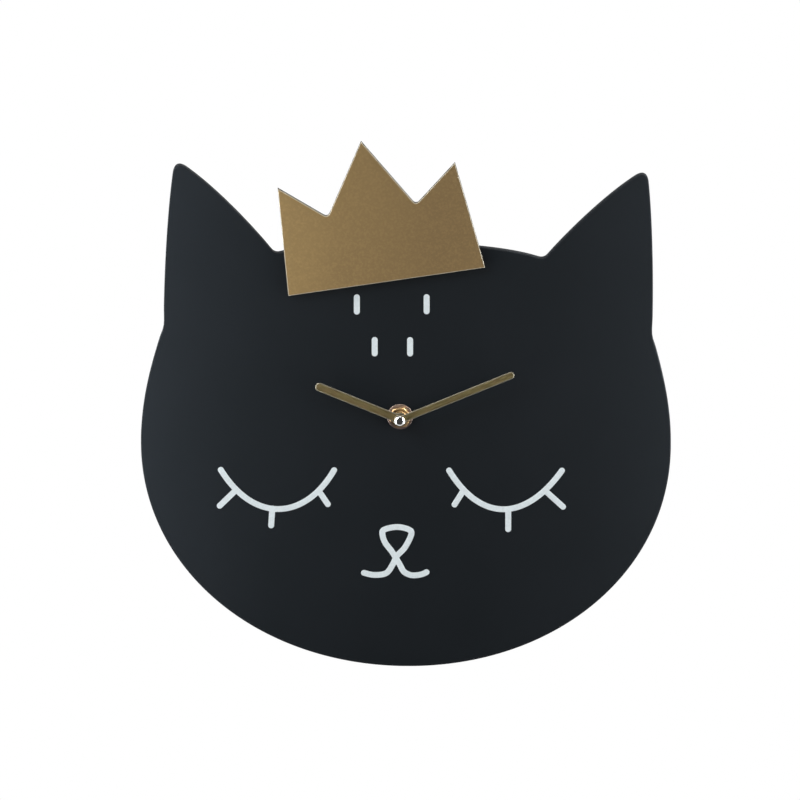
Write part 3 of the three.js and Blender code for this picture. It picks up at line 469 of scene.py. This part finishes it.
def plate(loops, back, front, edge, steps, back_edge=None, side=0, rim=0):
    """A flat plate of any outline, with holes and rounded edges. A back edge of (0, 0) is left sharp. Its
    side wall takes material number side, and its rounded front edge material number rim."""
    solid = bmesh.new()
    back_edge = edge if back_edge is None else back_edge
    profile = [(inset, back + depth) for inset, depth in reversed(quarter(back_edge, steps))]
    if not any(back_edge):
        profile = profile[:1]
    wall = len(profile) - 1
    profile += [(inset, front - depth) for inset, depth in quarter(edge, steps)]
    ends = ([], [])
    for loop in loops:
        normals = outward(loop)
        rows = []
        for inset, level in profile:
            at = [p - n * inset for p, n in zip(loop, normals)]
            rows.append([solid.verts.new((p.x, p.y, level)) for p in at])
        for k, (low, high) in enumerate(zip(rows[:-1], rows[1:])):
            for i in range(len(loop)):
                j = (i + 1) % len(loop)
                face = solid.faces.new((low[i], low[j], high[j], high[i]))
                face.material_index = 0 if k < wall else side if k == wall else rim
        for row, edges in zip((rows[0], rows[-1]), ends):
            for i in range(len(loop)):
                edges.append(solid.edges.get((row[i], row[(i + 1) % len(loop)])))
    for edges, normal in zip(ends, ((0, 0, -1), (0, 0, 1))):
        bmesh.ops.triangle_fill(solid, use_beauty=True, edges=edges, normal=normal)
    return solid


def turned(profile, sides, shape=None):
    """A profile of (radius, level) pairs turned round the clock's axis. It ends in two poles of radius 0, or
    closes on itself. shape(turn, radius, level) may move a point in and out or along."""
    solid = bmesh.new()
    rows = []
    for radius, level in profile:
        if radius == 0:
            rows.append([solid.verts.new((0, 0, level))])
            continue
        row = []
        for i in range(sides):
            turn = FULL_TURN * i / sides
            r, z = shape(turn, radius, level) if shape else (radius, level)
            row.append(solid.verts.new((r * math.cos(turn), r * math.sin(turn), z)))
        rows.append(row)
    closed = len(rows[0]) > 1
    for low, high in zip(rows, rows[1:] + (rows[:1] if closed else [])):
        for i in range(sides):
            j = (i + 1) % sides
            if len(low) == 1:
                solid.faces.new((low[0], high[j], high[i]))
            elif len(high) == 1:
                solid.faces.new((low[i], low[j], high[0]))
            else:
                solid.faces.new((low[i], low[j], high[j], high[i]))
    return solid


def ring_profile(inner, outer, back, front):
    """The section of a flat ring."""
    return [(inner, back), (outer, back), (outer, front), (inner, front)]


def softened(profile, radius, steps=3):
    """The profile with its corners rounded, except where a pole is."""
    found = []
    for i, (r, z) in enumerate(profile):
        here = Vector((r, z))
        before, after = Vector(profile[i - 1]), Vector(profile[(i + 1) % len(profile)])
        if r == 0:
            found.append((r, z))
            continue
        reach = min(radius, 0.45 * (before - here).length, 0.45 * (after - here).length)
        start = here + (before - here).normalized() * reach
        end = here + (after - here).normalized() * reach
        for k in range(steps + 1):
            t = k / steps
            p = start * (1 - t) ** 2 + here * 2 * t * (1 - t) + end * t * t
            found.append((p.x, p.y))
    return found


def softened_copy(node, width, angle=35, segments=2):
    """A CAD node's own shape, with its flat faces joined up and its edges bevelled."""
    solid = bmesh.new()
    solid.from_mesh(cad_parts[node].data)
    bmesh.ops.remove_doubles(solid, verts=solid.verts, dist=0.002 * MM)
    bmesh.ops.dissolve_limit(solid, angle_limit=math.radians(1), verts=solid.verts, edges=solid.edges)
    sharp = [e for e in solid.edges if e.is_manifold and e.calc_face_angle(0) > math.radians(angle)]
    bmesh.ops.bevel(solid, geom=sharp, offset=width * MM, offset_type="OFFSET", segments=segments,
                    profile=0.5, affect="EDGES", clamp_overlap=True)
    solid.transform(TO_FRAME.inverted())
    return solid


# ---------------------------------------------------------------- pieces
SHARP = math.radians(38)


def piece(name, solid, finishes, body, replaces=None):
    """Puts a solid made in the clock's millimetres into the scene as a piece of a body."""
    solid.transform(TO_FRAME)
    bmesh.ops.recalc_face_normals(solid, faces=solid.faces)
    for face in solid.faces:
        face.smooth = True
    for edge in solid.edges:
        edge.smooth = edge.is_manifold and edge.calc_face_angle(0) < SHARP
    mesh = bpy.data.meshes.new(name)
    solid.to_mesh(mesh)
    solid.free()
    for finish in finishes:
        mesh.materials.append(finish)
    made = bpy.data.objects.new(name, mesh)
    bpy.context.scene.collection.objects.link(made)
    weighted = made.modifiers.new("flat_faces_stay_flat", "WEIGHTED_NORMAL")
    weighted.keep_sharp = True
    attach(made, body)
    if replaces:
        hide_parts(replaces)


# ---------------------------------------------------------------- the head and its print
HEAD_BACK, HEAD_FRONT = levels("head_plate")
HEAD_EDGE = (0.6, 0.6)  # every edge is its width and its depth
BUSH_HOLE = 4.3
PRINT_HALF = 1.68  # half the width of a line
PRINT_THICKNESS = 0.08
PRINT_SUNK = 0.02
PRINT_EDGE = (0.05, 0.05)
FACE_X = -4.9  # the middle of the face


def head():
    """The board, its outline smoothed but kept inside the CAD's."""
    low, high = (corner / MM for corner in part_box("head_plate"))
    outline = [Vector((min(max(p.x, low.x), high.x), min(max(p.y, low.z), high.z)))
               for p in tidied(smooth(wall_outline("head_plate"), steps=3, closed=True), least=0.2)]
    hole = circle(BUSH_HOLE, 48, hole=True)
    solid = plate([outline, hole], HEAD_BACK, HEAD_FRONT, HEAD_EDGE, steps=5, side=1, rim=1)
    piece("dial", solid, [head_black(), head_side()], "clock_body", "head_plate")


def printed(name, paths, finish):
    """Raised lines of print along the paths, sunk a little into the board."""
    solid = plate(stroked(paths, PRINT_HALF), HEAD_FRONT - PRINT_SUNK, HEAD_FRONT + PRINT_THICKNESS,
                  PRINT_EDGE, steps=2, back_edge=(0, 0))
    piece(name, solid, [finish], "clock_body")


def closed_eye(name, side, lid, lashes, finish):
    """A drooping lid through four control points and three lashes, all measured from the middle of the face
    outwards. side is -1 for the left eye and 1 for the right."""

    def at(place):
        return (FACE_X + side * place[0], place[1])

    paths = [cubic(*(at(place) for place in lid))]
    paths += [[at(start), at(tip)] for start, tip in lashes]
    printed(name, paths, finish)


def face():
    """Two closed eyes, four forehead marks, and a nose and mouth in one line."""
    white = print_white()
    closed_eye("eye_left", -1, [(96.55, -31.5), (77.8, -62.9), (49.0, -61.0), (32.4, -31.5)],
               [((41.0, -43.8), (36.0, -51.4)), ((67.4, -54), (68.1, -63.9)), ((88.4, -43.7), (97.2, -52.5))],
               white)
    closed_eye("eye_right", 1, [(96.55, -31.4), (75.5, -61.7), (50.5, -61.5), (32.7, -31.5)],
               [((40.4, -43.8), (35.8, -51.4)), ((66.2, -54), (66.2, -65.7)), ((87.7, -43.7), (97.2, -52.5))],
               white)
    marks = [(-24.4, 69.3, 60.9), (15.05, 69.5, 61.2), (-14.3, 44.5, 36.6), (5.7, 44.5, 36.6)]
    for number, (x, top, bottom) in enumerate(marks, 1):
        printed(f"forehead_mark_{number}", [[(x, top), (x, bottom)]], white)
    muzzle = [
        (-20.4, -91.5), (-14.7, -92.7), (-7.8, -91.6), (-3.9, -86.1), (-1.8, -81.6), (2.8, -76.5),
        (6.4, -68.9), (4.8, -66.0), (-1.7, -64.6), (-9.0, -66.2), (-9.9, -69.3), (-8.3, -74.0),
        (-4.5, -79.1), (-0.4, -86.1), (2.1, -90.6), (5.7, -92.6), (9.0, -92.8), (12.4, -92.2), (15.0, -91.0),
    ]
    printed("nose_and_mouth", [smooth(muzzle, 6)], white)


head()
face()

# ---------------------------------------------------------------- the crown
CROWN_EDGE = (0.4, 0.3)


def crown():
    """The crown, with its front edge broken."""
    back, front = levels("crown")
    solid = plate([wall_outline("crown")], back, front, CROWN_EDGE, steps=4, side=1, rim=2)
    finishes = [crown_gold(), crown_side(), crown_rim_wear_and_highlight()]
    piece("crown_plate", solid, finishes, "clock_body", "crown")


crown()

# ---------------------------------------------------------------- hands
HAND_EDGE = (0.6, 0.22)
HAND_BACK_EDGE = (0.1, 0.1)
COLLET_INSET = 0.3
HUB_GAP = 0.05  # between the bar's edge and the hub's first point, in radians
HAND_RIM_HIGHLIGHT = hand_rim_highlight()
COLLET_BRASS = brass("collet_brass", (0.55, 0.37, 0.16), (0.42, 0.27, 0.11))


def joined(bar, disc):
    """The outline of a bar and a disc round its start: the bar's points outside the disc, then the disc's
    points outside the bar."""
    hub = disc[0].length
    tip = max(bar, key=lambda p: p.length)
    ahead = math.atan2(tip.y, tip.x)

    def turn_of(p):
        return (math.atan2(p.y, p.x) - ahead + math.pi) % FULL_TURN - math.pi

    far = [p for p in bar if p.length > hub]
    bar_turn = max(turn_of(p) for p in far)
    arc = [p for p in disc if abs(turn_of(p)) > bar_turn + HUB_GAP]
    arc.sort(key=lambda p: turn_of(p) % FULL_TURN)
    start = bar.index(min(far, key=turn_of))
    run = [p for p in bar[start:] + bar[:start] if p.length > hub]
    return tidied(run + arc, least=0.03)


def hand(body, length, width, turn, hub, bore):
    """A straight bar with a round end and a hub, pressed onto a brass collet behind it."""
    back, front = levels(body + "_hand")
    middle = (back + front) / 2
    way = Vector((math.cos(math.radians(turn)), math.sin(math.radians(turn))))
    bar = stroked([[(0, 0), way * (length - width / 2)]], width / 2, grid=0.2)[0]
    loops = [joined(bar, circle(hub, 72)), circle(bore, 48, hole=True)]
    solid = plate(loops, middle, front, HAND_EDGE, steps=3, back_edge=HAND_BACK_EDGE, rim=1)
    gilding = hand_gold(body + "_gold", turn)
    piece(body + "_bar", solid, [gilding, HAND_RIM_HIGHLIGHT], body, body + "_hand")
    collet = softened(ring_profile(bore, hub - COLLET_INSET, back, middle), radius=0.1)
    piece(body + "_collet", turned(collet, 48), [COLLET_BRASS], body)


hand("hour", length=51.5, width=4.9, turn=157.6, hub=3.9, bore=2.8)
hand("minute", length=70, width=4.1, turn=22.7, hub=3.2, bore=1.8)

# ---------------------------------------------------------------- spindle hardware
NEAR = 0.01  # a tolerance on radii and levels
THREAD_RADIUS = 4
THREAD_PITCH = 0.75
THREAD_DEPTH = 0.35
THREAD_FADE = 0.3
THREAD_END = 0.1  # left bare
THREAD_ROWS = 6  # to a pitch
LEAD_IN = (0.26, 0.25)  # the cone at the thread's end: how far in, and how tall
BUSH_BORE = 2.9
BUSH_BORE_EDGE = 0.15
FLANGE_RADIUS = 5.5
FLANGE_THICKNESS = 0.8
FLANGE_EDGE = 0.12
WASHER_RADIUS = 7.3
NUT_TURN = math.radians(8.5)
NUT_FLATS = 11
NUT_CORNER = NUT_FLATS / math.sqrt(3)
NUT_CHAMFER = 0.9  # its width at the corners
NUT_FACE = NUT_CORNER - NUT_CHAMFER
NUT_SLOPE = 0.8
NUT_BACK_EDGE = 0.15
NUT_BORE_EDGES = (0.2, 0.35)
CAP_RADIUS = 3
CAP_BORE = 1.8
CAP_ROOF = 1.2
CAP_SKIRT = 1.35
CAP_EDGE = 0.15


def bush(finish):
    """The bush: a flange behind the board and a helical thread that fades out at both its ends."""
    back, front = levels("threaded_bush")
    start, end = back + FLANGE_THICKNESS, front - LEAD_IN[1]

    def threaded(turn, radius, level):
        if radius < THREAD_RADIUS - NEAR:
            return radius, level
        room = max(0, front - THREAD_END - level), max(0, level - start)
        fade = min(1, *(gap / THREAD_FADE for gap in room))
        phase = (level / THREAD_PITCH - turn / FULL_TURN) % 1
        return radius - THREAD_DEPTH * fade * abs(2 * phase - 1), level

    rows = int((end - start) / (THREAD_PITCH / THREAD_ROWS))
    profile = [(BUSH_BORE, back), (FLANGE_RADIUS - FLANGE_EDGE, back), (FLANGE_RADIUS, back + FLANGE_EDGE),
               (FLANGE_RADIUS, start - FLANGE_EDGE), (FLANGE_RADIUS - FLANGE_EDGE, start)]
    profile += [(THREAD_RADIUS, start + i * (end - start) / rows) for i in range(rows + 1)]
    profile += [(THREAD_RADIUS - LEAD_IN[0], front), (BUSH_BORE + BUSH_BORE_EDGE, front),
                (BUSH_BORE, front - BUSH_BORE_EDGE)]
    piece("bush", turned(profile, 64, threaded), [finish], "clock_body", "threaded_bush")


def washer():
    """A plain washer, tarnished darker than the nut."""
    tarnished = brass("washer_brass", (0.40, 0.30, 0.24), (0.30, 0.22, 0.17), 0.34, 0.50)
    section = softened(ring_profile(BUSH_HOLE, WASHER_RADIUS, *levels("washer")), radius=0.25)
    piece("plain_washer", turned(section, 96), [tarnished], "clock_body", "washer")


def nut(finish):
    """A hexagon nut with its front corners chamfered."""
    back, front = levels("nut")

    def hexagonal(turn, radius, level):
        """Points of the rim move out to the hexagon, and back where the chamfer cuts its corners."""
        if radius < NUT_FACE + NEAR:
            return radius, level
        local = (turn - NUT_TURN) % (math.pi / 3) - math.pi / 6
        reach = NUT_CORNER * math.cos(math.pi / 6) / math.cos(local)
        if level > front - NEAR:
            return reach, front - NUT_SLOPE * max(0, reach - NUT_FACE)
        return reach - (NUT_BACK_EDGE if level < back + NEAR else 0), level

    back_bore, front_bore = NUT_BORE_EDGES
    profile = [
        (BUSH_HOLE + back_bore, back), (NUT_CORNER, back), (NUT_CORNER, back + NUT_BACK_EDGE),
        (NUT_CORNER, front), (NUT_FACE, front), (BUSH_HOLE + front_bore, front),
        (BUSH_HOLE, front - front_bore), (BUSH_HOLE, back + back_bore),
    ]
    piece("hexagon_nut", turned(profile, 144, hexagonal), [finish], "clock_body", "nut")


def cap():
    """The domed cap nut that holds the minute hand."""
    back, front = levels("cap_nut")
    dome_back = back + CAP_SKIRT
    profile = [(0, front - CAP_ROOF), (CAP_BORE, front - CAP_ROOF), (CAP_BORE, back),
               (CAP_RADIUS - CAP_EDGE, back), (CAP_RADIUS, back + CAP_EDGE)]
    profile += [(CAP_RADIUS * math.cos(a), dome_back + (front - dome_back) * math.sin(a))
                for a in np.linspace(0, math.pi / 2, 20)[:-1]]
    profile += [(0, front)]
    piece("cap", turned(profile, 72), [chrome()], "minute", "cap_nut")


# The last colour is painted shade that dims the nut's left highlight.
NUT_BRASS = brass("nut_brass", (0.68, 0.47, 0.22), (0.54, 0.35, 0.16), 0.36, 0.50, (0.28, 0.25, 0.26))
bush(NUT_BRASS)
washer()
nut(NUT_BRASS)
cap()

# ---------------------------------------------------------------- the movement's outside
GASKET_RADIUS = 13


def movement_outside():
    """The case, its cover and the setting knob, as in CAD with their edges rounded, and the rubber gasket."""
    case = moulded("case_black", (0.014, 0.014, 0.015), (0.019, 0.019, 0.020), 0.42, 0.6)
    cover = moulded("cover_black", (0.016, 0.016, 0.017), (0.022, 0.022, 0.023), 0.5, 0.68, 0.4, 0.02)
    piece("case_shell", softened_copy("movement_case", 0.35), [case], "clock_body",
          "movement_case")
    piece("cover", softened_copy("back_cover", 0.2), [cover], "clock_body", "back_cover")
    piece("knob", softened_copy("setting_knob", 0.12), [case], "knob", "setting_knob")
    gasket = softened(ring_profile(BUSH_HOLE, GASKET_RADIUS, *levels("gasket")), radius=0.35, steps=4)
    piece("rubber_gasket", turned(gasket, 96), [rubber()], "clock_body", "gasket")


movement_outside()

# ---------------------------------------------------------------- the cell
NUB_LENGTH, NUB_RADIUS, NUB_EDGE = 1.1, 2.7, 0.3
NUB_FOOT = (0.4, 0.1)  # how far out, and how tall
SHOULDER, RIM, LIP = 0.35, 1.0, 1.2  # how far in from its side the sleeve is crimped
SHOULDER_DEPTH, RIM_DEPTH, MINUS_LIP_DEPTH, PLUS_LIP_DEPTH = 0.5, 0.05, 0.35, 0.4  # from the sleeve's ends
POLE_INSET, POLE_DEPTH, MINUS_POLE_END, PLUS_POLE_END = 1.1, 0.3, 0.8, 0.9
MINUS_FACE, MINUS_FACE_DEPTH, MINUS_STEP = 3.4, 0.12, 3.9


def cell():
    """The AA cell: a sleeve crimped over its two poles. It is made along the clock's axis, then laid down."""
    low, high = (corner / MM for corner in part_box("battery"))
    radius = (high.z - low.z) / 2
    length = high.x - low.x
    body = length - NUB_LENGTH
    laid = (Matrix.Translation((low.x, (low.z + high.z) / 2, -(low.y + high.y) / 2))
            @ Matrix.Rotation(math.pi / 2, 4, "Y"))

    def lying(profile, rounding, sides):
        solid = turned(softened(profile, rounding, steps=2), sides)
        solid.transform(laid)
        return solid

    shoulder, rim, lip, pole = (radius - inset for inset in (SHOULDER, RIM, LIP, POLE_INSET))
    sleeve = [(lip, MINUS_LIP_DEPTH), (rim, RIM_DEPTH), (shoulder, 0), (radius, SHOULDER_DEPTH),
              (radius, body - SHOULDER_DEPTH), (shoulder, body), (rim, body - RIM_DEPTH),
              (lip, body - PLUS_LIP_DEPTH)]
    piece("cell_sleeve", lying(sleeve, 0.12, 72), [battery_sleeve()], "cell", "battery")
    bare_steel = steel("cell_steel", (0.60, 0.59, 0.57), (1, 1, 1))
    minus = [(0, MINUS_FACE_DEPTH), (MINUS_FACE, MINUS_FACE_DEPTH), (MINUS_STEP, POLE_DEPTH),
             (pole, POLE_DEPTH), (pole, MINUS_POLE_END), (0, MINUS_POLE_END)]
    piece("cell_minus", lying(minus, 0.1, 56), [bare_steel], "cell")
    plus = [(0, body - PLUS_POLE_END), (pole, body - PLUS_POLE_END), (pole, body - POLE_DEPTH),
            (NUB_RADIUS + NUB_FOOT[0], body - POLE_DEPTH), (NUB_RADIUS, body + NUB_FOOT[1]),
            (NUB_RADIUS, length - NUB_EDGE), (NUB_RADIUS - NUB_EDGE, length), (0, length)]
    piece("cell_plus", lying(plus, 0.12, 56), [bare_steel], "cell")


cell()

# ---------------------------------------------------------------- CAD nodes that keep their own shape
SHEET_STEEL = steel()
WHEEL_WHITE = moulded("wheel_white", (0.74, 0.72, 0.66), (0.80, 0.78, 0.72), 0.38, 0.5, 0.6, 0.004,
                      Subsurface_Weight=0.1)
KEPT = {
    "crown_tape": foam(),
    "middle_plate": moulded("plate_white", (0.70, 0.69, 0.64), (0.76, 0.74, 0.69), 0.42, 0.55, 0.4, 0.006),
    "rotor_magnet": magnet(),
    "coil_winding": winding(),
    "circuit_board": board(),
    "chip": moulded("chip_epoxy", (0.010, 0.010, 0.011), (0.016, 0.016, 0.017), 0.45, 0.65, 0.2, 0.01),
}
for node in ("stator", "coil_core", "crystal", "spring_contact", "plus_contact", "third_pinion"):
    KEPT[node] = SHEET_STEEL
for node in ("centre_wheel", "minute_work_wheel", "hour_wheel", "third_wheel", "fourth_wheel", "fifth_wheel",
             "rotor_pinion", "coil_bobbin"):
    KEPT[node] = WHEEL_WHITE
for node, finish in KEPT.items():
    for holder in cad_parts[node].material_slots:
        holder.material = finish


# ---------------------------------------------------------------- stage, lights and camera, in metres
FLOOR_SIDE = 4
FLOOR_FRONT, FLOOR_BACK = -0.45, 6  # its front no nearer the camera, or the board would mirror it
FLOOR_Z = -0.75
FLANK_REACH = (0.58, 0.80)  # how far to the side, and then how far back, a reflected ray points
BEHIND_REACH = (-0.10, 0.25)
LAMP_TARGET = Vector((0, -0.022, 0.02))
COOL = (0.88, 0.94, 1.0)
AZIMUTH = math.radians(0.7)
ELEVATION = math.radians(14)
DISTANCE = 12.0
FRAME_WIDTH = 0.4525
SENSOR_WIDTH = 36
AIM = Vector((0, -HEAD_FRONT * MM, 0.00953))


def backdrop():
    """A floor that is pale where light falls, and plain white to the camera and in reflections."""
    made = bpy.data.materials.new("floor_white")
    made.use_nodes = True
    tree = made.node_tree
    shader = tree.nodes["Principled BSDF"]
    shader.inputs["Base Color"].default_value = (0.8, 0.8, 0.8, 1)
    shader.inputs["Roughness"].default_value = 0.9
    glow = tree.nodes.new("ShaderNodeEmission")
    path = tree.nodes.new("ShaderNodeLightPath")
    seen = path.outputs["Is Camera Ray"]
    for ray in ("Is Glossy Ray", "Is Transmission Ray"):
        seen = add_node(tree, "Math", {0: seen, 1: path.outputs[ray]}, operation="MAXIMUM").outputs[0]
    mix = add_node(tree, "MixShader", {0: seen, 1: shader.outputs[0], 2: glow.outputs[0]})
    tree.links.new(mix.outputs[0], tree.nodes["Material Output"].inputs["Surface"])
    return made


def build_floor():
    """A flat white floor."""
    mesh = bpy.data.meshes.new("floor")
    corners = [(-FLOOR_SIDE, FLOOR_FRONT), (FLOOR_SIDE, FLOOR_FRONT), (FLOOR_SIDE, FLOOR_BACK),
               (-FLOOR_SIDE, FLOOR_BACK)]
    mesh.from_pydata([(x, y, FLOOR_Z) for x, y in corners], [], [(0, 1, 2, 3)])
    mesh.materials.append(backdrop())
    floor = bpy.data.objects.new("floor", mesh)
    bpy.context.scene.collection.objects.link(floor)


def build_world(ambient, front, beside):
    """White to the camera. Reflections see white behind the clock, a grey room beside it and a dim one in
    front of it, and ambient is what lights matt surfaces."""
    world = bpy.data.worlds.new("studio")
    bpy.context.scene.world = world
    world.use_nodes = True
    tree = world.node_tree
    lamp = tree.nodes["Background"]
    lamp.inputs["Color"].default_value = (1, 1, 1, 1)
    path = tree.nodes.new("ShaderNodeLightPath")
    where = tree.nodes.new("ShaderNodeTexCoord").outputs["Generated"]
    way = add_node(tree, "SeparateXYZ", {0: where}).outputs

    def risen(amount, reach, full):
        """A strength that runs from front to full as amount runs through a reach."""
        start, end = reach
        inputs = {"Value": amount, "From Min": start, "From Max": end, "To Min": front, "To Max": full}
        return add_node(tree, "MapRange", inputs, interpolation_type="SMOOTHSTEP").outputs["Result"]

    def math_node(operation, first, second=0.0):
        return add_node(tree, "Math", {0: first, 1: second}, operation=operation).outputs[0]

    def choice(ray, otherwise, value):
        """value for one kind of ray, and otherwise for the others."""
        inputs = {"Factor": path.outputs[ray], NUMBER_A: otherwise, NUMBER_B: value}
        return add_node(tree, "Mix", inputs).outputs[MIXED_NUMBER]

    flanks = risen(math_node("ABSOLUTE", way["X"]), FLANK_REACH, beside)
    behind = risen(way["Y"], BEHIND_REACH, 1.0)
    mirrored = choice("Is Glossy Ray", ambient, math_node("MAXIMUM", flanks, behind))
    through = choice("Is Transmission Ray", mirrored, 1.0)
    tree.links.new(choice("Is Camera Ray", through, 1.0), lamp.inputs["Strength"])


def softbox(name, where, size, level, color=(1, 1, 1), sheen_only=False):
    """A lamp of size (across, up) aimed at the clock. level is the share of full light that it gives a
    surface that faces it. A sheen_only one is seen in reflections alone."""
    lamp = bpy.data.lights.new(name, "AREA")
    lamp.shape = "RECTANGLE"
    lamp.size, lamp.size_y = size
    lamp.color = color
    away = Vector(where) - LAMP_TARGET
    lamp.energy = math.pi ** 2 * level * away.length_squared
    made = bpy.data.objects.new(name, lamp)
    bpy.context.scene.collection.objects.link(made)
    made.location = where
    made.rotation_euler = away.to_track_quat("Z", "Y").to_euler()
    made.visible_diffuse = not sheen_only
    made.visible_camera = False


def build_camera():
    """A long lens, far enough away to look without perspective, a little above and to one side."""
    camera = bpy.data.cameras.new("camera")
    camera.sensor_width = SENSOR_WIDTH
    camera.lens = SENSOR_WIDTH * DISTANCE / FRAME_WIDTH
    viewer = bpy.data.objects.new("camera", camera)
    bpy.context.scene.collection.objects.link(viewer)
    toward = Vector((math.sin(AZIMUTH) * math.cos(ELEVATION), -math.cos(AZIMUTH) * math.cos(ELEVATION),
                     math.sin(ELEVATION)))
    viewer.location = AIM + toward * DISTANCE
    viewer.rotation_euler = toward.to_track_quat("Z", "Y").to_euler()
    bpy.context.scene.camera = viewer


build_floor()
build_world(ambient=0.34, front=0.055, beside=0.6)
softbox("key", (-1.5, -1.3, 1.5), (1.0, 1.0), 0.68)
softbox("fill", (1.8, -1.3, 0.9), (1.0, 1.0), 0.30)
softbox("top", (0.0, -0.3, 1.7), (1.4, 0.7), 0.30)
softbox("back", (0.9, 1.6, 0.9), (1.0, 1.0), 0.4)
softbox("left_sheen", (-0.30, -0.16, 0.03), (0.14, 0.62), 6.2, COOL, sheen_only=True)
softbox("right_sheen", (0.33, -0.16, 0.03), (0.14, 0.62), 5.2, COOL, sheen_only=True)
build_camera()
bpy.context.scene.view_settings.view_transform = "Standard"
